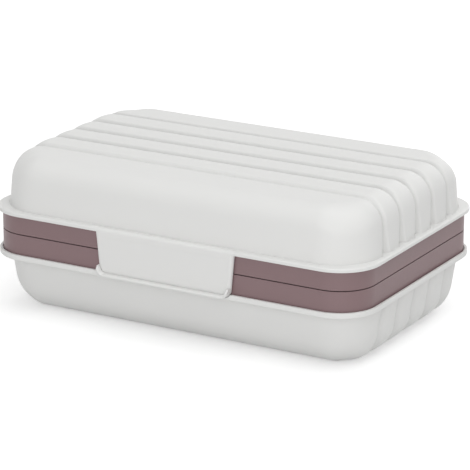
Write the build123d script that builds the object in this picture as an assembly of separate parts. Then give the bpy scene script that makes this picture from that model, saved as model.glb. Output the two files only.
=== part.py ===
from build123d import *
import os
from math import atan2, cos, pi, radians, sin, tan

# Travel soap box with a hinged lid, a front latch flap and a lift-out drain tray.
# Lid and base are fluted bowls. Each carries a coloured ring; the two rings meet
# at the parting plane, where a soft seal in the lid's ring closes on a bead.
# Frame: +Z up, latch towards -Y, X along the length.
# Origin: centre of the box, on the surface it stands on.

# --- coloured band -------------------------------------------------------------
BAND_LENGTH = 117.0
BAND_WIDTH = 74.5
BAND_CORNER = 10.7
COVER_BAND = 5.55           # parting plane to underside of the lid's flange
BASE_BAND = 5.85            # parting plane to top edge of the base's rim
PARTING_GAP = 0.3           # shadow line between the rings

# --- lid bowl --------------------------------------------------------------------
COVER_HEIGHT = 21.5         # parting plane to top of lid
COVER_LENGTH = 116.2        # at the flange, over the ribs
COVER_WIDTH = 72.2
COVER_CORNER = 13.6
COVER_DRAFT = 4.6
COVER_EDGE = 6.8            # rounding round the top
COVER_WALL = 1.3
COVER_FLUTE_TOP = 0.6       # flute depth on the flat top
COVER_FLUTE_FOOT = 1.3      # flute depth at the flange

# --- base bowl -------------------------------------------------------------------
BASE_HEIGHT = 24.0          # table to parting plane
BASE_LENGTH = 116.8         # at the rim, over the ribs
BASE_WIDTH = 68.6
BASE_CORNER = 12.3
BASE_DRAFT = 8.5
BASE_EDGE = 9.2
BASE_WALL = 1.3
BASE_FLUTE_TOP = 0.5
BASE_FLUTE_FOOT = 1.0

# --- flutes: valleys between convex ribs, over the top and down both ends --------
FLUTE_COUNT = 5
FLUTE_PITCH = 9.7
FLUTE_FLOOR = 1.4           # flat along the bottom of a valley
FLUTE_FLANK_ANGLE = 47.0
FLUTE_REACH = 3.0           # how far the cutting profile stands out of the wall

# --- bends from the walls to the top or the floor: strips that touch the rounding ----
OUTER_BEND_STRIPS = 3
INNER_BEND_STRIPS = 1

# --- flange and rim --------------------------------------------------------------
FLANGE_OVERHANG = 1.4
FLANGE_THICKNESS = 1.1
FLANGE_BEVEL = 0.4
RIM_OVERHANG = 1.05
RIM_SHELF = 1.1             # shelf that carries the lower ring
RIM_LIP = 0.55              # upstand round the lower ring
RIM_LIP_GAP = 0.25
RIM_BEVEL = 0.3

# --- ring spigots and seal ---------------------------------------------------------
SPIGOT_HEIGHT = 3.5
SPIGOT_WALL = 1.7
SPIGOT_CLEARANCE = 0.1
SEAL_INSET = 1.5            # band face to the seal's channel
SEAL_WIDTH = 1.6
SEAL_HEIGHT = 1.3
SEAL_SIDE_CLEARANCE = 0.05
BEAD_WIDTH = 0.8            # bead on the lower ring, under the seal
BEAD_HEIGHT = 0.8
BEAD_CLEARANCE = 0.2

# --- rear hinge ----------------------------------------------------------------------
HINGE_OFFSET = 1.55         # band face to hinge axis
HINGE_SPACING = 60.0
KNUCKLE_RADIUS = 1.6
KNUCKLE_LENGTH = 5.0
KNUCKLE_GAP = 0.2
KNUCKLE_RELIEF = 0.25
KNUCKLE_ROOT = 0.8          # how far a knuckle's web runs into its ring
PIN_RADIUS = 0.8
PIN_CLEARANCE = 0.04
PIN_SEAT_CLEARANCE = 0.02

# --- latch flap ----------------------------------------------------------------------
FLAP_TOP_WIDTH = 43.8
FLAP_BOTTOM_WIDTH = 41.9
FLAP_THICKNESS = 1.3
FLAP_CORNER = 2.5
FLAP_EDGE = 0.8
FLAP_TOP_CLEARANCE = 0.05
LIP_THICKNESS = 1.0
LIP_REACH = 1.75
LIP_RISE = 2.3              # how far the lip's ends sweep up the sides
LIP_CORNER = 0.9            # rounding of the lip in plan
LIP_END_ROUND = 1.1         # rounding of the swept-up ends
NOTCH_CLEARANCE = 0.2       # flap to the sides of its notch in the rim
NOTCH_FLOOR_CLEARANCE = 0.12
NOTCH_BACK_CLEARANCE = 0.1
HOOK_WIDTH = 28.0
HOOK_HEIGHT = 1.3
HOOK_REACH = 0.7
HOOK_DROP = 3.2             # parting plane to top of the hook
HOOK_CLEARANCE = 0.22

# --- drain tray ----------------------------------------------------------------------
TRAY_END_CLEARANCE = 3.1    # inside of the base's ring to the tray
TRAY_SIDE_CLEARANCE = 1.4
TRAY_CORNER = 13.0
TRAY_PLATE = 1.6
TRAY_BORDER_HEIGHT = 2.8
TRAY_BORDER_WALL = 1.4
TRAY_FOOT_HEIGHT = 5.6
TRAY_FOOT_SIZE = 4.4
TRAY_FOOT_SPAN = 78.0
TRAY_FOOT_ROWS = 3          # flute pitches between the two rows of feet
SLOT_LENGTH = 42.0
SLOT_WIDTH = 3.2
SLOT_PITCH = 9.0
SLOT_COUNT = 8
SOAP_RIB_HEIGHT = 1.2
SOAP_RIB_WIDTH = 1.4
SOAP_RIB_LENGTH = 47.0
FINGER_HOLE_LENGTH = 18.0
FINGER_HOLE_WIDTH = 9.0
FINGER_HOLE_INSET = 8.0     # tray end to centre of the hole

# --- places that follow from the sizes --------------------------------------------------
PARTING_Z = BASE_HEIGHT
FLANGE_Z = PARTING_Z + COVER_BAND
RIM_TOP_Z = PARTING_Z - BASE_BAND
SHELF_Z = RIM_TOP_Z - RIM_LIP
RIM_Z = SHELF_Z - RIM_SHELF
RING_LOW_Z = PARTING_Z - PARTING_GAP / 2     # top of the base's ring
RING_HIGH_Z = PARTING_Z + PARTING_GAP / 2    # bottom of the lid's ring
SEAL_Z = RING_LOW_Z + BEAD_HEIGHT + BEAD_CLEARANCE
HINGE_Y = BAND_WIDTH / 2 + HINGE_OFFSET
FLAP_FRONT_Y = -(BAND_WIDTH / 2 + FLANGE_OVERHANG)
FLAP_BACK_Y = FLAP_FRONT_Y + FLAP_THICKNESS
FLAP_TOP_Z = FLANGE_Z - FLAP_TOP_CLEARANCE
FLAP_BOTTOM_Z = RIM_TOP_Z - LIP_THICKNESS
HOOK_TOP_Z = PARTING_Z - HOOK_DROP
TRAY_Z = BASE_WALL + TRAY_FOOT_HEIGHT
EPS = 0.01
CUT_OVER = 1.0              # how far a cutting body runs past what it cuts


def slab(size, z_low, z_high):
    """Flat plate with rounded plan corners; size is (length, width, corner)."""
    return extrude(Pos(0, 0, z_low) * RectangleRounded(*size), z_high - z_low)


def frame(outer, inner, z_low, z_high):
    return slab(outer, z_low, z_high) - slab(inner, z_low - EPS, z_high + EPS)


def shrink(size, by):
    """The same outline drawn in by one amount all round."""
    return (size[0] - 2 * by, size[1] - 2 * by, size[2] - by)


BAND = (BAND_LENGTH, BAND_WIDTH, BAND_CORNER)
FLANGE = shrink(BAND, -FLANGE_OVERHANG)
RIM = shrink(BAND, -RIM_OVERHANG)
COVER = (COVER_LENGTH, COVER_WIDTH, COVER_CORNER)
BASE = (BASE_LENGTH, BASE_WIDTH, BASE_CORNER)


def bore_size(size, wall, flute_foot, clearance=0.0):
    """Outline that passes inside a bowl's wall and its inward ridges."""
    length, width, corner = shrink(size, wall + clearance)
    return (length - 2 * flute_foot, width, corner)


BASE_BORE = bore_size(BASE, BASE_WALL, BASE_FLUTE_FOOT)
COVER_SPIGOT = bore_size(COVER, COVER_WALL, COVER_FLUTE_FOOT, SPIGOT_CLEARANCE)
BASE_SPIGOT = bore_size(BASE, BASE_WALL, BASE_FLUTE_FOOT, SPIGOT_CLEARANCE)
BASE_MOUTH = shrink(BASE_SPIGOT, SPIGOT_WALL)
TRAY_LENGTH = BASE_MOUTH[0] - 2 * TRAY_END_CLEARANCE
TRAY_WIDTH = BASE_MOUTH[1] - 2 * TRAY_SIDE_CLEARANCE


def bend_points(low, top, radius, strips):
    """Corners of the strips that carry a leaning wall round to the level top.

    The wall rises from low and would meet the level in a sharp corner at top.
    Every strip touches the rounding of that radius, as wall and level do.
    """
    lean = atan2(low.X - top.X, top.Z - low.Z)
    step = (pi / 2 - lean) / (strips + 1)
    centre = Vector(top.X - radius * tan(pi / 4 - lean / 2), 0, top.Z - radius)
    angles = [lean + (i + 0.5) * step for i in range(strips + 1)]
    return [centre + Vector(cos(a), 0, sin(a)) * (radius / cos(step / 2)) for a in angles]


def plain_bowl(size, height, draft, edge, strips):
    """Filled bowl with its mouth at z = 0: one wall section, turned at the four
    corners and drawn along the sides."""
    length, width, corner = size
    x, y = length / 2 - corner, width / 2 - corner
    low = Vector(corner, 0, 0)
    top = Vector(corner - height * tan(radians(draft)), 0, height)
    wall = [low, *bend_points(low, top, edge, strips)]
    section = make_face(Polyline(*wall, (0, 0, height), (0, 0, 0), close=True))
    turned = revolve(section, Axis.Z, 90)
    end = Pos(x, 0, 0) * extrude(section, y, both=True)
    side = Pos(0, y, 0) * Rot(0, 0, 90) * extrude(section, x, both=True)
    corners = [Pos(x, y, 0) * turned, Pos(-x, y, 0) * Rot(0, 0, 90) * turned]
    half = [end, side, *corners]
    core = Pos(0, 0, height / 2) * Box(2 * x, 2 * y, height)
    return core + half + [Rot(0, 0, 180) * piece for piece in half]


def flute_profile(plane, outward, spread):
    """Valley between two ribs, open on the outward side; spread widens its floor."""
    floor = FLUTE_FLOOR / 2 + spread
    mouth = floor + FLUTE_REACH / tan(radians(FLUTE_FLANK_ANGLE))
    high = outward * FLUTE_REACH
    outline = [(floor, 0), (mouth, high), (-mouth, high), (-floor, 0)]
    return plane * make_face(Polyline(*outline, close=True))


def valley_line(size, height, draft, edge, depths, strips):
    """Floor line of a flute, up one end wall, over the top and down the other."""
    top_depth, foot_depth = depths
    foot_x = size[0] / 2 - foot_depth
    bend_z = height - edge
    bend_x = size[0] / 2 - bend_z * tan(radians(draft)) - top_depth
    lean = (foot_x - bend_x) / bend_z
    low = Vector(foot_x + lean * FLUTE_REACH, 0, -FLUTE_REACH)
    top = Vector(foot_x - lean * (height - top_depth), 0, height - top_depth)
    points = [low, *bend_points(low, top, edge - top_depth, strips)]
    return Polyline(*points, *[(-p.X, 0, p.Z) for p in reversed(points)])


def bowl(size, height, draft, edge, depths, spread, strips):
    """Filled fluted bowl with its mouth at z = 0 and its closed side up."""
    body = plain_bowl(size, height, draft, edge, strips)
    path = valley_line(size, height, draft, edge, depths, strips)
    plane = Plane(origin=path @ 0, x_dir=(0, 1, 0), z_dir=path % 0)
    outward = 1 if plane.y_dir.X > 0 else -1
    cutter = sweep(flute_profile(plane, outward, spread), path, transition=Transition.RIGHT)
    for i in range(FLUTE_COUNT):
        body -= Pos(0, (i - (FLUTE_COUNT - 1) / 2) * FLUTE_PITCH, 0) * cutter
    return body


def bowl_pair(size, height, draft, edge, wall, depths):
    """Outside of a fluted bowl, and its inside one wall further in."""
    spread = wall * tan(radians(FLUTE_FLANK_ANGLE / 2))
    outside = bowl(size, height, draft, edge, depths, 0, OUTER_BEND_STRIPS)
    inside = bowl(shrink(size, wall), height - wall, draft, edge - wall, depths,
                  spread, INNER_BEND_STRIPS)
    return outside, inside


def outline_edges(solid, z):
    """Outer edge loop of a plate's face at height z."""
    faces = solid.faces().filter_by(Axis.Z)
    face = [f for f in faces if abs(f.center().Z - z) < 1e-4][0]
    return face.outer_wire().edges()


def cover_shell():
    outside, inside = bowl_pair(COVER, COVER_HEIGHT - COVER_BAND, COVER_DRAFT, COVER_EDGE,
                                COVER_WALL, (COVER_FLUTE_TOP, COVER_FLUTE_FOOT))
    flange = slab(FLANGE, 0, FLANGE_THICKNESS)
    flange = chamfer(outline_edges(flange, FLANGE_THICKNESS), FLANGE_BEVEL)
    return Pos(0, 0, FLANGE_Z) * (outside + flange - inside)


def base_shell():
    outside, inside = bowl_pair(BASE, RIM_Z, BASE_DRAFT, BASE_EDGE, BASE_WALL,
                                (BASE_FLUTE_TOP, BASE_FLUTE_FOOT))
    turn = Pos(0, 0, RIM_Z) * Rot(180, 0, 0)
    rim = slab(RIM, RIM_Z, RIM_TOP_Z)
    rim = chamfer(outline_edges(rim, RIM_Z), RIM_BEVEL)
    rim -= slab(shrink(BAND, -RIM_LIP_GAP), SHELF_Z, RIM_TOP_Z + CUT_OVER)
    rim -= slab(BASE_BORE, RIM_Z - CUT_OVER, RIM_TOP_Z + CUT_OVER)
    shell = turn * outside - turn * inside
    return shell + (rim - turn * inside) - flap_notch()


def flap_notch():
    """Room for the flap and its lip in the front of the rim."""
    width = FLAP_BOTTOM_WIDTH + 2 * (NOTCH_CLEARANCE + flap_slope() * LIP_THICKNESS)
    low, high = FLAP_BOTTOM_Z - NOTCH_FLOOR_CLEARANCE, RIM_TOP_Z + CUT_OVER
    front, back = FLAP_FRONT_Y - LIP_REACH - CUT_OVER, FLAP_BACK_Y + NOTCH_BACK_CLEARANCE
    place = Pos(0, (front + back) / 2, (low + high) / 2)
    return place * Box(width, back - front, high - low)


def ring_body(spigot, z_low, z_high):
    inner = shrink(spigot, SPIGOT_WALL)
    return frame(BAND, inner, z_low, z_high)


def spigot_wall(spigot, draft):
    """Tapered collar that plugs into a bowl, rising from z = 0."""
    collar = extrude(RectangleRounded(*spigot), SPIGOT_HEIGHT, taper=draft)
    return collar - slab(shrink(spigot, SPIGOT_WALL), -CUT_OVER, SPIGOT_HEIGHT + CUT_OVER)


def knuckle_spans(owner):
    """(x centre, length) of each knuckle on the lid's ring or on the base's ring."""
    step = KNUCKLE_LENGTH + KNUCKLE_GAP
    offsets = (0,) if owner == "cover" else (-step, step)
    return [(side * HINGE_SPACING / 2 + dx, KNUCKLE_LENGTH) for side in (-1, 1) for dx in offsets]


def x_cylinder(radius, length, x):
    return Pos(x, HINGE_Y, PARTING_Z) * Rot(0, 90, 0) * Cylinder(radius, length)


def add_knuckles(ring, owner, bore_clearance):
    other = "base" if owner == "cover" else "cover"
    sign = 1 if owner == "cover" else -1
    for x, length in knuckle_spans(other):
        ring -= x_cylinder(KNUCKLE_RADIUS + KNUCKLE_RELIEF, length + 2 * KNUCKLE_GAP - EPS, x)
    depth = HINGE_OFFSET + KNUCKLE_ROOT
    height = KNUCKLE_RADIUS - PARTING_GAP / 2
    for x, length in knuckle_spans(owner):
        web_z = PARTING_Z + sign * (PARTING_GAP / 2 + height / 2)
        ring += Pos(x, HINGE_Y - depth / 2, web_z) * Box(length, depth, height)
        ring += x_cylinder(KNUCKLE_RADIUS, length, x)
        ring -= x_cylinder(PIN_RADIUS + bore_clearance, length + CUT_OVER, x)
    return ring


def cover_ring():
    ring = ring_body(COVER_SPIGOT, RING_HIGH_Z, FLANGE_Z)
    ring += Pos(0, 0, FLANGE_Z) * spigot_wall(COVER_SPIGOT, COVER_DRAFT)
    channel_width = SEAL_WIDTH + 2 * SEAL_SIDE_CLEARANCE
    outer = shrink(BAND, SEAL_INSET)
    ring -= frame(outer, shrink(outer, channel_width), RING_HIGH_Z - CUT_OVER, SEAL_Z + SEAL_HEIGHT)
    return add_knuckles(ring, "cover", PIN_CLEARANCE)


def seal_ring():
    outer = shrink(BAND, SEAL_INSET + SEAL_SIDE_CLEARANCE)
    return frame(outer, shrink(outer, SEAL_WIDTH), SEAL_Z, SEAL_Z + SEAL_HEIGHT)


def base_ring():
    ring = ring_body(BASE_SPIGOT, SHELF_Z, RING_LOW_Z)
    ring += Pos(0, 0, SHELF_Z) * Rot(180, 0, 0) * spigot_wall(BASE_SPIGOT, BASE_DRAFT)
    bead_inset = SEAL_INSET + SEAL_SIDE_CLEARANCE + (SEAL_WIDTH - BEAD_WIDTH) / 2
    bead = shrink(BAND, bead_inset)
    ring += frame(bead, shrink(bead, BEAD_WIDTH), RING_LOW_Z - EPS, RING_LOW_Z + BEAD_HEIGHT)
    ring = add_knuckles(ring, "base", PIN_SEAT_CLEARANCE)
    return ring - catch_groove()


def catch_groove():
    """Groove in the front of the base's ring that takes the flap's hook."""
    width = HOOK_WIDTH + 2 * HOOK_CLEARANCE
    height = HOOK_HEIGHT + 2 * HOOK_CLEARANCE
    tip = FLAP_BACK_Y + HOOK_REACH + HOOK_CLEARANCE
    depth = tip + BAND_WIDTH / 2 + CUT_OVER
    z = HOOK_TOP_Z - HOOK_HEIGHT / 2
    return Pos(0, tip - depth / 2, z) * Box(width, depth, height)


def hinge_pin(side):
    step = KNUCKLE_LENGTH + KNUCKLE_GAP
    return x_cylinder(PIN_RADIUS, 2 * step + KNUCKLE_LENGTH, side * HINGE_SPACING / 2)


def flap_slope():
    """How much the flap's side leans out per unit of height."""
    return (FLAP_TOP_WIDTH - FLAP_BOTTOM_WIDTH) / 2 / (FLAP_TOP_Z - FLAP_BOTTOM_Z)


def flap_face(inset, z_top):
    """Front outline of the flap, drawn in by an inset, on the XZ plane."""
    low = FLAP_BOTTOM_Z + inset
    half_low = FLAP_BOTTOM_WIDTH / 2 - inset + flap_slope() * inset
    half_top = half_low + flap_slope() * (z_top - low)
    points = [(-half_top, z_top), (-half_low, low), (half_low, low), (half_top, z_top)]
    face = make_face(Polyline(*points, close=True))
    corners = face.vertices().sort_by(Axis.Y)[:2]
    return Plane.XZ * fillet(corners, FLAP_CORNER - inset)


def lip():
    """Finger lip: runs along the flap's bottom edge and sweeps up both corners."""
    high = RIM_TOP_Z + LIP_RISE
    band = flap_face(0, high) - flap_face(LIP_THICKNESS, high + CUT_OVER)
    solid = extrude(Pos(0, FLAP_BACK_Y, 0) * band, FLAP_THICKNESS + LIP_REACH)
    tip = FLAP_FRONT_Y - LIP_REACH
    plan = Pos(0, 0, FLAP_BOTTOM_Z) * RectangleRounded(FLAP_BOTTOM_WIDTH, -2 * tip, LIP_CORNER)
    solid &= extrude(plan, LIP_THICKNESS + LIP_RISE)
    side = Rectangle(LIP_REACH, 2 * LIP_RISE + LIP_THICKNESS)
    side = fillet(side.vertices().sort_by(Axis.Y)[-2:].sort_by(Axis.X)[0], LIP_END_ROUND)
    side = Pos(tip + LIP_REACH / 2, high - LIP_RISE - LIP_THICKNESS / 2) * side
    guard = Rectangle(FLAP_THICKNESS, 3 * (high - FLAP_BOTTOM_Z))
    guard = Pos(FLAP_FRONT_Y + FLAP_THICKNESS / 2, high) * guard
    return solid & extrude(Plane.YZ * (side + guard), FLAP_TOP_WIDTH, both=True)


def latch_flap():
    plate = extrude(Pos(0, FLAP_BACK_Y, 0) * flap_face(0, FLAP_TOP_Z), FLAP_THICKNESS)
    front = plate.faces().filter_by(Axis.Y).sort_by(Axis.Y)[0]
    sides = [e for e in front.edges() if e.center().Z < FLAP_TOP_Z - EPS]
    plate = fillet(sides, FLAP_EDGE)
    hook_y = FLAP_BACK_Y + HOOK_REACH / 2
    hook = Pos(0, hook_y - EPS, HOOK_TOP_Z - HOOK_HEIGHT / 2) * Box(
        HOOK_WIDTH, HOOK_REACH + 2 * EPS, HOOK_HEIGHT)
    return plate + lip() + hook


def pattern(piece, points):
    return [Pos(*p) * piece for p in points]


def drain_tray():
    outer = (TRAY_LENGTH, TRAY_WIDTH, TRAY_CORNER)
    top = TRAY_Z + TRAY_PLATE
    tray = slab(outer, TRAY_Z, TRAY_Z + TRAY_BORDER_HEIGHT)
    tray -= slab(shrink(outer, TRAY_BORDER_WALL), top, TRAY_Z + TRAY_BORDER_HEIGHT + CUT_OVER)
    foot = Box(TRAY_FOOT_SIZE, TRAY_FOOT_SIZE, TRAY_FOOT_HEIGHT + TRAY_PLATE / 2,
               align=(Align.CENTER, Align.CENTER, Align.MIN))
    foot_y = TRAY_FOOT_ROWS * FLUTE_PITCH / 2
    feet = [(x, y, BASE_WALL) for x in (-TRAY_FOOT_SPAN / 2, TRAY_FOOT_SPAN / 2)
            for y in (-foot_y, foot_y)]
    rib = Box(SOAP_RIB_WIDTH, SOAP_RIB_LENGTH, SOAP_RIB_HEIGHT + TRAY_PLATE / 2,
              align=(Align.CENTER, Align.CENTER, Align.MAX))
    ribs = [((i - (SLOT_COUNT - 2) / 2) * SLOT_PITCH, 0, top + SOAP_RIB_HEIGHT)
            for i in range(SLOT_COUNT - 1)]
    tray += pattern(foot, feet) + pattern(rib, ribs)
    slot = Box(SLOT_WIDTH, SLOT_LENGTH, 3 * TRAY_PLATE)
    slots = [((i - (SLOT_COUNT - 1) / 2) * SLOT_PITCH, 0, top) for i in range(SLOT_COUNT)]
    hole = Rot(0, 0, 90) * SlotOverall(FINGER_HOLE_LENGTH, FINGER_HOLE_WIDTH)
    hole = extrude(hole, 3 * TRAY_PLATE, both=True)
    hole_x = TRAY_LENGTH / 2 - FINGER_HOLE_INSET
    tray -= pattern(slot, slots) + pattern(hole, [(-hole_x, 0, top), (hole_x, 0, top)])
    return tray


PARTS = {
    "cover_shell": cover_shell(),
    "cover_ring": cover_ring(),
    "seal_ring": seal_ring(),
    "latch_flap": latch_flap(),
    "base_shell": base_shell(),
    "base_ring": base_ring(),
    "hinge_pin_left": hinge_pin(-1),
    "hinge_pin_right": hinge_pin(1),
    "drain_tray": drain_tray(),
}

os.makedirs("parts", exist_ok=True)
for name, solid in PARTS.items():
    export_step(solid, f"parts/{name}.step")
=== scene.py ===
import bmesh
import bpy
from math import cos, hypot, radians, sin, tan
from mathutils import Matrix, Vector


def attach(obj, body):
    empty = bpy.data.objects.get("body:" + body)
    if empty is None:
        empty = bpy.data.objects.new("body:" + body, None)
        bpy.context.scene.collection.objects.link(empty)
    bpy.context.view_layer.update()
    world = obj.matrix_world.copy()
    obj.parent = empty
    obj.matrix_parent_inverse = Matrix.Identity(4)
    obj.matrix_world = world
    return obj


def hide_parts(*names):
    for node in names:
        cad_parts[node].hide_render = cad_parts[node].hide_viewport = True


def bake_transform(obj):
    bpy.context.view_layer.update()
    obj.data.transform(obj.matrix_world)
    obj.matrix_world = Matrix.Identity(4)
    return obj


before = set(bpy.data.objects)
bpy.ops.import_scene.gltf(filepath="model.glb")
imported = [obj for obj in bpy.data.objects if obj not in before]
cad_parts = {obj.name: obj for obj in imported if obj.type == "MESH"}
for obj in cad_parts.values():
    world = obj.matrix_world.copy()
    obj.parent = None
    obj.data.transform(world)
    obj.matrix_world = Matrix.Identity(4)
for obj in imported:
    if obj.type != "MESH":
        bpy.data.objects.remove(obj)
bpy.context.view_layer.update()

# --- sizes in millimetres, as in the CAD --------------------------------------------
MM = 0.001

# Outlines: length, width, corner radius.
COVER = (116.2, 72.2, 13.6)         # lid's wall at its foot
BASE = (116.8, 68.6, 12.3)          # base's wall at its rim
FLANGE = (119.8, 77.3, 12.1)
RIM = (119.1, 76.6, 11.75)
RIM_SEAT = (117.5, 75.0, 10.95)     # inside of the rim's lip

BAND_LENGTH = 117.0
PARTING_Z = 24.0
FLANGE_Z = 29.55                    # underside of the lid's flange
RIM_Z = 16.5                        # the rim's outer face, from which the base hangs
WALL = 1.3

FLANGE_THICKNESS = 1.1
FLANGE_FILLET, FLANGE_EDGE = 0.14, 0.45
CREASE_DEPTH = 0.16                 # groove in the flange along the dome's foot
FOLD_EDGE = 0.95                    # rounder edge of the flange over the flap
FOLD_BLEND = 1.2                    # length over which the two edges blend

SHELF = 1.1                         # rim's thickness under the band
LIP = 0.55                          # height of the rim's lip over the shelf
RIM_FILLET, RIM_EDGE = 0.4, 0.4

NOTCH_HALF = 20.75                  # the notch in the rim that the flap's lip lies in
NOTCH_FLAT, NOTCH_ROUND = 18.7, 2.45
NOTCH_DEPTH = 1.12
NOTCH_Y = -37.25
NOTCH_COLUMNS = [NOTCH_FLAT, 19.2, 19.7, 20.1, 20.4, 20.6, NOTCH_HALF]

FLAP_TOP_HALF, FLAP_LOW_HALF = 21.9, 20.95
FLAP_TOP_Z, FLAP_LOW_Z = 29.5, 17.15
FLAP_FRONT_Y, FLAP_BACK_Y = -38.65, -37.35
FLAP_ROUND, FLAP_ROUND_DEPTH = 1.0, 0.9     # rounding of the front face's edge
FLAP_CORNER = 2.4                   # radius of the lower corners
LIP_REACH = 1.75                    # how far the finger lip stands out of the flap
LIP_THICKNESS = 0.95
LIP_TIP = 0.62                      # thickness at the horns' tips, and share of the reach there
HOOK_TOP_Z, HOOK_HEIGHT, HOOK_HALF, HOOK_REACH = 20.8, 1.3, 14.0, 0.65
SKIN_OFFSET = 0.05                  # how far the skin over the fold lies over flange and flap

PITCH = 9.7
GROOVES = [(i - 2) * PITCH for i in range(5)]
INNER_SPREAD = 0.45                 # how much wider a groove's floor is inside the wall
BEND_FROM, BEND_SPAN = 28.0, 55.0   # degrees of the bend over which wall flutes become top flutes

# Bowls. draft in degrees; edge is the bend's radius and corner_edge what the corners add.
# Flutes: depth, half width of the floor and run of a side, each at the wall's foot, at its
# bend and on the top. crown: rise of the ribs between them, at the foot and at the bend.
# front_fade: share by which the groove nearest the front is shallower on the top.
COVER_FORM = {
    "size": COVER, "height": 15.95, "draft": 4.6, "edge": 6.8, "corner_edge": 2.0,
    "depth": (1.3, 1.35, 1.60), "floor": (1.45, 0.25, 0.90), "run": (0.95, 1.2, 0.75),
    "crown": (0.10, 0.58), "crowned_top": True, "front_fade": 0.5,
}
BASE_FORM = {
    "size": BASE, "height": 16.5, "draft": 8.5, "edge": 9.2, "corner_edge": 1.5,
    "depth": (1.0, 1.3, 1.0), "floor": (0.9, 0.15, 0.15), "run": (2.2, 3.8, 4.0),
    "crown": (0.10, 0.25), "crowned_top": False, "front_fade": 0.0,
}

# Shading: points nearer than this are one, and steeper edges than this stay sharp.
MERGE_DISTANCE = 0.0015
SHARP_ANGLE = 48
RING_BEVEL, RING_BEVEL_ANGLE = 0.26, 40

# --- light level ----------------------------------------------------------------------
WORLD_LEVEL = 0.45
FLOOR_NEAR, FLOOR_FAR = 0.15, 0.9           # metres from the middle of the floor
FLOOR_LIFT, FLOOR_LIFT_FAR = 0.42, 0.75     # what is added there for the camera alone

# --- camera, solved from the photograph's edges -----------------------------------------
AZIMUTH, ELEVATION, ROLL = 29.67, 17.7095, 0.1268
CAMERA_BACK, CAMERA_RIGHT, CAMERA_UP = 6.6796, 0.0037, -0.0219      # in band lengths
FOCAL_PIXELS, FRAME_PIXELS, SENSOR = 2752.6, 470.0, 36.0


# --- materials --------------------------------------------------------------------------
def node(tree, kind, **inputs):
    made = tree.nodes.new(kind)
    for name, value in inputs.items():
        made.inputs[name.replace("_", " ")].default_value = value
    return made


def plastic(name, colour, shade, roughness, grain=900.0, bump=0.02, specular=0.5):
    """Moulded plastic: faint tone drift, fine grain in roughness and surface."""
    material = bpy.data.materials.new(name)
    material.use_nodes = True
    tree = material.node_tree
    link = tree.links.new
    shader = tree.nodes["Principled BSDF"]
    coords = tree.nodes.new("ShaderNodeTexCoord")
    drift = node(tree, "ShaderNodeTexNoise", Scale=28.0, Detail=3.0)
    ramp = tree.nodes.new("ShaderNodeValToRGB")
    ramp.color_ramp.elements[0].position = 0.3
    ramp.color_ramp.elements[1].position = 0.7
    ramp.color_ramp.elements[0].color = (*colour, 1)
    ramp.color_ramp.elements[1].color = (*shade, 1)
    fine = node(tree, "ShaderNodeTexNoise", Scale=grain, Detail=4.0)
    rough = node(tree, "ShaderNodeMapRange", To_Min=roughness - 0.05, To_Max=roughness + 0.05)
    relief = node(tree, "ShaderNodeBump", Strength=bump, Distance=0.0002)
    link(coords.outputs["Object"], drift.inputs["Vector"])
    link(coords.outputs["Object"], fine.inputs["Vector"])
    link(drift.outputs["Fac"], ramp.inputs["Fac"])
    link(ramp.outputs["Color"], shader.inputs["Base Color"])
    link(fine.outputs["Fac"], rough.inputs["Value"])
    link(rough.outputs["Result"], shader.inputs["Roughness"])
    link(fine.outputs["Fac"], relief.inputs["Height"])
    link(relief.outputs["Normal"], shader.inputs["Normal"])
    shader.inputs["Specular IOR Level"].default_value = specular
    return material


white = plastic("white_gloss", (0.765, 0.765, 0.753), (0.758, 0.758, 0.747), 0.42, specular=0.3)
mauve = plastic("mauve_satin", (0.228, 0.148, 0.154), (0.220, 0.142, 0.148), 0.42)
silicone = plastic("silicone", (0.66, 0.66, 0.65), (0.62, 0.62, 0.61), 0.55, grain=1500.0)
tray_white = plastic("tray_white", (0.74, 0.74, 0.73), (0.72, 0.72, 0.71), 0.45, grain=1200.0)
steel = plastic("steel_wire", (0.55, 0.55, 0.55), (0.45, 0.45, 0.45), 0.3, grain=3000.0)
steel.node_tree.nodes["Principled BSDF"].inputs["Metallic"].default_value = 1.0

FINISH = {
    "cover_shell": white, "base_shell": white, "latch_flap": white,
    "cover_ring": mauve, "base_ring": mauve, "seal_ring": silicone,
    "drain_tray": tray_white, "hinge_pin_left": steel, "hinge_pin_right": steel,
}
for name, finish in FINISH.items():
    for material_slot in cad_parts[name].material_slots:
        material_slot.material = finish


# --- outlines and columns -----------------------------------------------------------------
def outside(size, x, y):
    """Signed distance from a point to a rounded rectangle's outline."""
    length, width, corner = size
    qx, qy = abs(x) - length / 2 + corner, abs(y) - width / 2 + corner
    return hypot(max(qx, 0.0), max(qy, 0.0)) + min(max(qx, qy), 0.0) - corner


def reach(size, base, way):
    """How far from a column's base point, along its direction, an outline lies."""
    low, high = 0.0, 40.0
    for _ in range(40):
        mid = (low + high) / 2
        if outside(size, base[0] + way[0] * mid, base[1] + way[1] * mid) < 0:
            low = mid
        else:
            high = mid
    return low


def even(start, end, count):
    return [start + (end - start) * i / count for i in range(count + 1)]


def smooth(t):
    """0 below 0, 1 above 1 and an S curve between."""
    t = min(max(t, 0.0), 1.0)
    return t * t * (3 - 2 * t)


def mix(a, b, t):
    return a + (b - a) * min(max(t, 0.0), 1.0)


def rounded(centre, radius, start, end, steps):
    """Points on an arc, angles in degrees."""
    angles = even(radians(start), radians(end), steps)
    return [(centre[0] + radius * cos(a), centre[1] + radius * sin(a)) for a in angles]


def end_rows(half):
    """Y positions across an end: dense over the grooves, sparse between them."""
    rows = {round(-half, 4), round(half, 4)}
    steps = (0, 0.12, 0.25, 0.4, 0.6, 0.85, 1.1, 1.35, 1.6, 1.9, 2.2, 2.6, 3.1, 3.7, 4.3,
             PITCH / 2)
    for centre in GROOVES:
        for offset in steps:
            for y in (centre - offset, centre + offset):
                if abs(y) < half - 0.05:
                    rows.add(round(y, 4))
    return sorted(rows)


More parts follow.
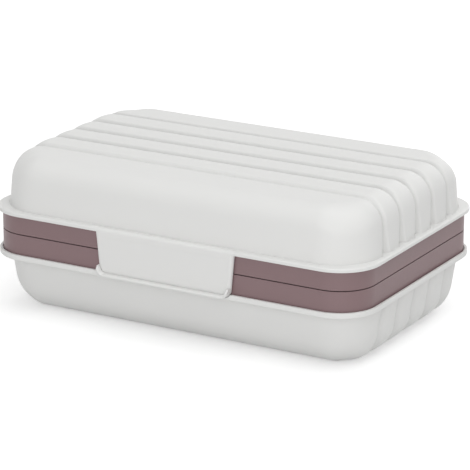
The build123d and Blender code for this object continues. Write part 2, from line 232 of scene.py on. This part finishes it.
def plan_columns(half_x, half_y, breaks):
    """Columns round a bowl: (base point, direction, corner angle, y or None at a corner).

    Also the rows and runs, the y and x positions that the top's grid takes from them.
    """
    rows = end_rows(half_y)
    runs = sorted({round(x, 4) for x in even(-half_x, half_x, 24)} | set(breaks))
    arc = [90.0 * i / 24 for i in range(1, 24)]
    made = []
    for turn in (1, -1):
        made += [((turn * half_x, turn * y), (turn, 0.0), 0.0, turn * y) for y in rows]
        for a in arc:
            way = (turn * cos(radians(a)), turn * sin(radians(a)))
            made.append(((turn * half_x, turn * half_y), way, a, None))
        made += [((-turn * x, turn * half_y), (0.0, turn), 90.0, None) for x in runs]
        for a in reversed(arc):
            way = (-turn * cos(radians(a)), turn * sin(radians(a)))
            made.append(((-turn * half_x, turn * half_y), way, a, None))
    return made, rows, runs


# --- bowl sections ----------------------------------------------------------------------
def groove(form, y, t, over, spread):
    """Depth of the surface at y under its plain level; a rib's crown is negative.

    t runs from the wall's foot to its bend, over from the bend to the level top.
    """
    near = min(abs(y - centre) for centre in GROOVES)
    depth, floor_half, run = (mix(mix(foot, bend, t), top, over)
                              for foot, bend, top in (form["depth"], form["floor"], form["run"]))
    if y < GROOVES[0] + PITCH / 2:
        depth *= 1 - form["front_fade"] * over
    side = min(max((near - floor_half - spread) / run, 0.0), 1.0)
    fall = depth * (1 - side) ** mix(2.0, 1.6, over) * (1 + (1 - t) * side)
    if abs(y) > GROOVES[-1]:
        return fall
    return fall - mix(*form["crown"], t) * (1 - (1 - min(near / (PITCH / 2), 1.0)) ** 2)


def wall_section(form, inset, angle, y, low, steps):
    """Points (r, z) from the wall's foot up round the bend to the level top."""
    corner, height, draft = form["size"][2] - inset, form["height"] - inset, form["draft"]
    lean = tan(radians(draft))
    edge = form["edge"] - inset + form["corner_edge"] * sin(radians(2 * angle)) ** 2
    centre_r = corner - height * lean - edge * tan(radians((90 - draft) / 2))
    centre_z = height - edge
    bend_z = centre_z + edge * sin(radians(draft))
    points = [(corner - z * lean, z, draft) for z in even(low, bend_z, steps[0])]
    for a in even(draft, 90, steps[1])[1:]:
        points.append((centre_r + edge * cos(radians(a)), centre_z + edge * sin(radians(a)), a))
    if y is None:
        return [(r, z) for r, z, _ in points]
    fluted = []
    for r, z, a in points:
        over = smooth((a - BEND_FROM) / BEND_SPAN)
        d = groove(form, y, z / centre_z, over, INNER_SPREAD if inset else 0.0)
        if d < 0 and not form["crowned_top"]:
            d *= cos(radians(a)) ** 2
        fluted.append((r - d * cos(radians(a)), z - d * sin(radians(a))))
    return fluted


def flange_feet(wall, base, way):
    """Lid flange at a column: fillet, crease, top face, rounded edge, underside."""
    outline, edge = reach(FLANGE, base, way), FLANGE_EDGE
    if way[1] < 0:
        over_flap = smooth((FLAP_TOP_HALF + FOLD_BLEND - abs(base[0])) / FOLD_BLEND)
        edge = mix(FLANGE_EDGE, FOLD_EDGE, over_flap)
    foot = wall[0]
    line = rounded((foot + FLANGE_FILLET, FLANGE_THICKNESS + FLANGE_FILLET), FLANGE_FILLET,
                   180, 250, 3)
    line += [(foot + 0.10, FLANGE_THICKNESS - CREASE_DEPTH),
             (foot + 0.30, FLANGE_THICKNESS - CREASE_DEPTH), (foot + 0.38, FLANGE_THICKNESS)]
    line += rounded((outline - edge, FLANGE_THICKNESS - edge), edge, 90, 0, 5)
    line += rounded((outline - 0.15, 0.15), 0.15, 0, -90, 2)
    return [line]


def rim_feet(wall, base, way):
    """Base rim at a column, upside down: fillet, outer face, edge, lip or notch, shelf.

    The columns at the notch's two ends have both lines, in the order of going round.
    """
    outline, seat = reach(RIM, base, way), reach(RIM_SEAT, base, way)
    face = rounded((wall[0] + RIM_FILLET, RIM_FILLET), RIM_FILLET, 180, 270, 4)
    face += rounded((outline - RIM_EDGE, -RIM_EDGE), RIM_EDGE, 90, 0, 5)
    top, shelf = -(SHELF + LIP), -SHELF
    whole = face + [(outline, top + 0.1), (outline - 0.1, top), (seat + 0.08, top),
                    (seat, top + 0.08), (seat, shelf)]
    if way[1] >= 0 or abs(base[0]) > NOTCH_HALF + 1e-6:
        return [whole]
    beyond = max(abs(base[0]) - NOTCH_FLAT, 0.0)
    depth = NOTCH_DEPTH - NOTCH_ROUND + (NOTCH_ROUND ** 2 - beyond ** 2) ** 0.5
    cut = top + max(depth, 0.02)
    back = -NOTCH_Y - abs(base[1]) if depth > LIP else seat
    notched = face + [(outline, cut), (outline - 0.1, cut), (back + 0.01, cut),
                      (back, cut + 0.001), (back, shelf)]
    if abs(base[0]) < NOTCH_HALF - 1e-6:
        return [notched]
    return [notched, whole] if base[0] > 0 else [whole, notched]


# --- meshes -------------------------------------------------------------------------------
def made_piece(name, verts, faces):
    """White object: merged points, outward faces, smooth shading with weighted normals."""
    mesh = bpy.data.meshes.new(name)
    mesh.from_pydata(verts, [], faces)
    obj = bpy.data.objects.new(name, mesh)
    bpy.context.scene.collection.objects.link(obj)
    work = bmesh.new()
    work.from_mesh(mesh)
    bmesh.ops.remove_doubles(work, verts=work.verts, dist=MERGE_DISTANCE * MM)
    bmesh.ops.recalc_face_normals(work, faces=work.faces)
    for face in work.faces:
        face.smooth = True
    for edge in work.edges:
        edge.smooth = edge.calc_face_angle(0.0) < radians(SHARP_ANGLE)
    work.to_mesh(mesh)
    work.free()
    mesh.materials.append(white)
    weighted = obj.modifiers.new("weighted", "WEIGHTED_NORMAL")
    weighted.keep_sharp = True
    return obj


def bowl(name, form, feet, low, place, breaks):
    """Closed shell: outer top, outer wall, foot, inner wall, inner top."""
    length, width, corner = form["size"]
    half_x, half_y = length / 2 - corner, width / 2 - corner
    columns, rows, runs = plan_columns(half_x, half_y, breaks)
    verts, faces, index = [], [], {}

    def vertex(x, y, z):
        key = (round(x, 3), round(y, 3), round(z, 3))
        if key not in index:
            index[key] = len(verts)
            verts.append(place(x, y, z))
        return index[key]

    loops = []
    for base, way, angle, y in columns:
        outer = wall_section(form, 0.0, angle, y, low, (16, 16))
        inner = wall_section(form, WALL, angle, y, 0.0, (8, 8))
        for foot in feet(outer[0], base, way):
            line = outer[:0:-1] + foot + inner
            loop = [vertex(base[0] + way[0] * r, base[1] + way[1] * r, z) for r, z in line]
            loops.append([vertex(*base, line[0][1])] + loop + [vertex(*base, line[-1][1])])
    for a, b in zip(loops, loops[1:] + loops[:1]):
        for j in range(len(a) - 1):
            quad = list(dict.fromkeys((a[j], a[j + 1], b[j + 1], b[j])))
            if len(quad) > 2:
                faces.append(quad)
    for inset in (0.0, WALL):
        grid = []
        for y in rows:
            row_y = None if abs(abs(y) - half_y) < 1e-3 else y
            z = wall_section(form, inset, 0.0, row_y, 0.0, (2, 8))[-1][1]
            grid.append([vertex(x, y, z) for x in runs])
        for near, far in zip(grid, grid[1:]):
            for i in range(len(runs) - 1):
                quad = [near[i], near[i + 1], far[i + 1], far[i]]
                faces.append(quad[::-1] if inset else quad)
    return made_piece(name, verts, faces)


def strip_mesh(rings):
    """Closed mesh from rings of points, each ring joined to the next."""
    count = len(rings[0])
    last = (len(rings) - 1) * count
    verts = [tuple(v * MM for v in point) for ring in rings for point in ring]
    faces = []
    for i in range(0, last, count):
        for j in range(count):
            k = (j + 1) % count
            faces.append((i + j, i + k, i + count + k, i + count + j))
    faces.append(tuple(range(count)))
    faces.append(tuple(last + j for j in range(count)))
    return verts, faces


def joined(name, parts):
    verts, faces = [], []
    for part_verts, part_faces in parts:
        shift = len(verts)
        verts += part_verts
        faces += [tuple(i + shift for i in face) for face in part_faces]
    return made_piece(name, verts, faces)


# --- lid and base -------------------------------------------------------------------------
def cover():
    def place(x, y, z):
        return (x * MM, y * MM, (FLANGE_Z + z) * MM)
    near_flap = [FLAP_TOP_HALF + d for d in even(0.0, FOLD_BLEND, 4)]
    piece = bowl("smooth_cover", COVER_FORM, flange_feet, FLANGE_THICKNESS + FLANGE_FILLET,
                 place, near_flap + [-x for x in near_flap])
    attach(piece, "cover")
    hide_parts("cover_shell")


def base():
    def place(x, y, z):
        return (x * MM, y * MM, (RIM_Z - z) * MM)
    piece = bowl("smooth_base", BASE_FORM, rim_feet, RIM_FILLET, place,
                 NOTCH_COLUMNS + [-x for x in NOTCH_COLUMNS])
    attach(piece, "base")
    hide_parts("base_shell")


# --- latch flap -----------------------------------------------------------------------------
def front_edge():
    """Rounding of the flap's front edge: (drawn in, set back), from the side to the front."""
    return [(FLAP_ROUND * (1 - cos(a)), FLAP_ROUND_DEPTH * (1 - sin(a)))
            for a in map(radians, even(0, 90, 7))]


def flap_outline(inset):
    """(x, z) round the flap's plate, drawn in by inset, lower corners rounded."""
    low, high = FLAP_LOW_HALF - inset, FLAP_TOP_HALF - inset
    radius = max(FLAP_CORNER - inset, 0.4)
    points = [(high, FLAP_TOP_Z - min(inset, 0.3))]
    points += rounded((low - radius, FLAP_LOW_Z + inset + radius), radius, 0, -90, 8)
    return points + [(-x, z) for x, z in reversed(points)]


def flap_plate():
    """Plate of the flap: back, sides, rounded front edge, front."""
    rings = [[(x, FLAP_BACK_Y, z) for x, z in flap_outline(0.35)],
             [(x, FLAP_BACK_Y - 0.3, z) for x, z in flap_outline(0.0)]]
    for inset, back in front_edge():
        rings.append([(x, FLAP_FRONT_Y + back, z) for x, z in flap_outline(inset)])
    return strip_mesh(rings)


def lip_path():
    """Fold line of the lip, (x, z, nx, nz): up one horn, along the bottom, up the other."""
    x, z = FLAP_LOW_HALF - FLAP_CORNER, FLAP_LOW_Z + FLAP_CORNER
    half = [(FLAP_LOW_HALF, z + 0.55, -1.0, 0.0), (FLAP_LOW_HALF, z + 0.25, -1.0, 0.0)]
    for a in map(radians, even(0, -90, 12)):
        half.append((x + FLAP_CORNER * cos(a), z + FLAP_CORNER * sin(a), -cos(a), -sin(a)))
    return half + [(-px, pz, -nx, nz) for px, pz, nx, nz in reversed(half)]


def lip():
    """Finger lip: a thin fold standing out of the plate, thinner at the horns' tips."""
    rings = []
    path = lip_path()
    for i, (x, z, nx, nz) in enumerate(path):
        along = min(i, len(path) - 1 - i) / 6
        thick = mix(LIP_TIP, LIP_THICKNESS, smooth(along))
        front = FLAP_FRONT_Y - LIP_REACH * mix(LIP_TIP, 1.0, smooth(along * 1.6))
        back, half, root = FLAP_FRONT_Y + 0.5, thick / 2, thick - 0.4
        section = [(back, 0.0), (front + half, 0.0)]
        section += [(front + half - half * sin(a), half - half * cos(a))
                    for a in map(radians, even(30, 150, 4))]
        section += [(front + half, thick), (FLAP_FRONT_Y - 0.24, thick),
                    (FLAP_FRONT_Y - 0.22, root), (FLAP_FRONT_Y + 0.05, root), (back, root)]
        rings.append([(x + nx * d, y, z + nz * d) for y, d in section])
    return strip_mesh(rings)


def hook():
    """Catch on the flap's back, with a sloping upper face and rounded ends."""
    back, tip, top = FLAP_BACK_Y - 0.1, FLAP_BACK_Y + HOOK_REACH, HOOK_TOP_Z
    low, middle, end = top - HOOK_HEIGHT, top - HOOK_HEIGHT / 2, 0.12
    section = [(back, top), (back + 0.5, top), (tip, top - 0.3), (tip, top - 0.75),
               (back + 0.45, low), (back, low)]
    rings = []
    for x, inset in ((-HOOK_HALF, end), (end - HOOK_HALF, 0.0), (HOOK_HALF - end, 0.0),
                     (HOOK_HALF, end)):
        rings.append([(x, max(y - inset, back), z + inset * (1 if z < middle else -1))
                      for y, z in section])
    return strip_mesh(rings)


def flap():
    piece = joined("smooth_flap", [flap_plate(), lip(), hook()])
    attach(piece, "latch")
    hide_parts("latch_flap")


def hinge_skin():
    """Thin web over the fold: from the flange's top over its edge on to the flap."""
    y0, z0 = FLAP_FRONT_Y + FOLD_EDGE, FLANGE_Z + FLANGE_THICKNESS - FOLD_EDGE
    over, front = FOLD_EDGE + SKIN_OFFSET, FLAP_FRONT_Y - SKIN_OFFSET
    line = [(y0 + 0.6, z0 + FOLD_EDGE + 0.005), (y0 + 0.3, z0 + FOLD_EDGE + 0.03)]
    line += [(y0 - over * sin(a), z0 + over * cos(a)) for a in map(radians, even(0, 90, 10))]
    line += [(front, z) for z in (29.6, 29.5, 29.4, 29.3, 29.2, 29.0, 28.8)]
    line += [(front + 0.02, 28.5), (front + 0.045, 28.2)]
    slope = (FLAP_TOP_HALF - FLAP_LOW_HALF) / (FLAP_TOP_Z - FLAP_LOW_Z)
    rings = []
    for y, z in line:
        half = FLAP_TOP_HALF - max(FLAP_TOP_Z - z, 0) * slope + 0.01
        on_flange = smooth((z - 29.4) / 0.5)
        outer, inner = [], []
        for inset, back in front_edge():
            x, behind = half - inset, y + back * (1 - on_flange)
            outer.append((x, behind, z))
            inner.append((x - 0.02, behind + 0.035, z - 0.03 * on_flange))
        ring = outer + [(-px, py, pz) for px, py, pz in reversed(outer)]
        rings.append(ring + [(-px, py, pz) for px, py, pz in inner] + inner[::-1])
    piece = joined("hinge_skin", [strip_mesh(rings)])
    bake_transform(piece)


def soften(name):
    """Rounds the edges of a CAD ring as it is shown."""
    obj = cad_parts[name]
    bevel = obj.modifiers.new("edges", "BEVEL")
    bevel.width = RING_BEVEL * MM
    bevel.segments = 2
    bevel.limit_method = "ANGLE"
    bevel.angle_limit = radians(RING_BEVEL_ANGLE)
    bevel.harden_normals = False
    weighted = obj.modifiers.new("weighted", "WEIGHTED_NORMAL")
    weighted.keep_sharp = False


# --- floor, light and camera ----------------------------------------------------------------
def seen_directly(tree):
    """1 for rays that show the background: camera, glossy and transmission rays."""
    path = tree.nodes.new("ShaderNodeLightPath")
    total = path.outputs["Is Camera Ray"]
    for name in ("Is Glossy Ray", "Is Transmission Ray"):
        either = tree.nodes.new("ShaderNodeMath")
        either.operation = "MAXIMUM"
        tree.links.new(total, either.inputs[0])
        tree.links.new(path.outputs[name], either.inputs[1])
        total = either.outputs[0]
    return total


def floor():
    """Pale floor that looks white from near to far and keeps the object's shadow."""
    bpy.ops.mesh.primitive_plane_add(size=8.0, location=(0, 0, 0))
    plane = bpy.context.object
    plane.name = "floor"
    material = plastic("floor_paper", (0.78, 0.78, 0.78), (0.775, 0.775, 0.775), 0.9,
                       grain=300.0, bump=0.0, specular=0.1)
    tree = material.node_tree
    shader = tree.nodes["Principled BSDF"]
    shader.inputs["Emission Color"].default_value = (1, 1, 1, 1)
    coords = tree.nodes.new("ShaderNodeTexCoord")
    distance = tree.nodes.new("ShaderNodeVectorMath")
    distance.operation = "LENGTH"
    fade = node(tree, "ShaderNodeMapRange", From_Min=FLOOR_NEAR, From_Max=FLOOR_FAR,
                To_Min=FLOOR_LIFT, To_Max=FLOOR_LIFT_FAR)
    lift = tree.nodes.new("ShaderNodeMath")
    lift.operation = "MULTIPLY"
    tree.links.new(coords.outputs["Object"], distance.inputs[0])
    tree.links.new(distance.outputs["Value"], fade.inputs["Value"])
    tree.links.new(fade.outputs["Result"], lift.inputs[1])
    tree.links.new(seen_directly(tree), lift.inputs[0])
    tree.links.new(lift.outputs[0], shader.inputs["Emission Strength"])
    plane.data.materials.append(material)


def area(name, size, power, place):
    """Rectangular lamp aimed at the object's middle."""
    data = bpy.data.lights.new(name, "AREA")
    data.shape = "RECTANGLE"
    data.size, data.size_y = size
    data.energy = power
    lamp = bpy.data.objects.new(name, data)
    bpy.context.scene.collection.objects.link(lamp)
    lamp.location = place
    aim = Vector((0, 0, 0.02)) - Vector(place)
    lamp.rotation_euler = aim.to_track_quat("-Z", "Y").to_euler()


def light():
    """Even world light, white to the camera, and three large soft lamps."""
    world = bpy.data.worlds.new("studio")
    world.use_nodes = True
    tree = world.node_tree
    fill = tree.nodes["Background"]
    fill.inputs["Color"].default_value = (1, 1, 1, 1)
    fill.inputs["Strength"].default_value = WORLD_LEVEL
    shown = node(tree, "ShaderNodeBackground", Color=(1, 1, 1, 1), Strength=1.0)
    choose = tree.nodes.new("ShaderNodeMixShader")
    tree.links.new(seen_directly(tree), choose.inputs["Fac"])
    tree.links.new(fill.outputs[0], choose.inputs[1])
    tree.links.new(shown.outputs[0], choose.inputs[2])
    tree.links.new(choose.outputs[0], tree.nodes["World Output"].inputs["Surface"])
    bpy.context.scene.world = world
    area("top_box", (1.6, 1.6), 11.5, (0.3, 0.0, 1.5))
    area("back_box", (1.0, 0.8), 2.2, (0.1, 1.3, 0.6))
    area("front_box", (0.7, 0.5), 1.9, (0.28, -0.66, 0.22))


def camera():
    azimuth, elevation, roll = radians(AZIMUTH), radians(ELEVATION), radians(ROLL)
    back = Vector((sin(azimuth) * cos(elevation), -cos(azimuth) * cos(elevation),
                   sin(elevation)))
    level = Vector((0, 0, 1)).cross(back).normalized()
    upright = back.cross(level)
    right = cos(roll) * level + sin(roll) * upright
    up = -sin(roll) * level + cos(roll) * upright
    place = CAMERA_BACK * back + CAMERA_RIGHT * right + CAMERA_UP * up
    place = BAND_LENGTH * MM * place + Vector((0, 0, PARTING_Z * MM))
    data = bpy.data.cameras.new("camera")
    data.sensor_width = SENSOR
    data.lens = FOCAL_PIXELS * SENSOR / FRAME_PIXELS
    data.clip_start = 0.05
    data.clip_end = 50.0
    cam = bpy.data.objects.new("camera", data)
    bpy.context.scene.collection.objects.link(cam)
    turn = Matrix((right, up, back)).transposed().to_4x4()
    cam.matrix_world = Matrix.Translation(place) @ turn
    bpy.context.scene.camera = cam


cover()
base()
flap()
hinge_skin()
for name in ("cover_ring", "base_ring"):
    soften(name)
floor()
light()
camera()
bpy.context.scene.view_settings.view_transform = "Standard"
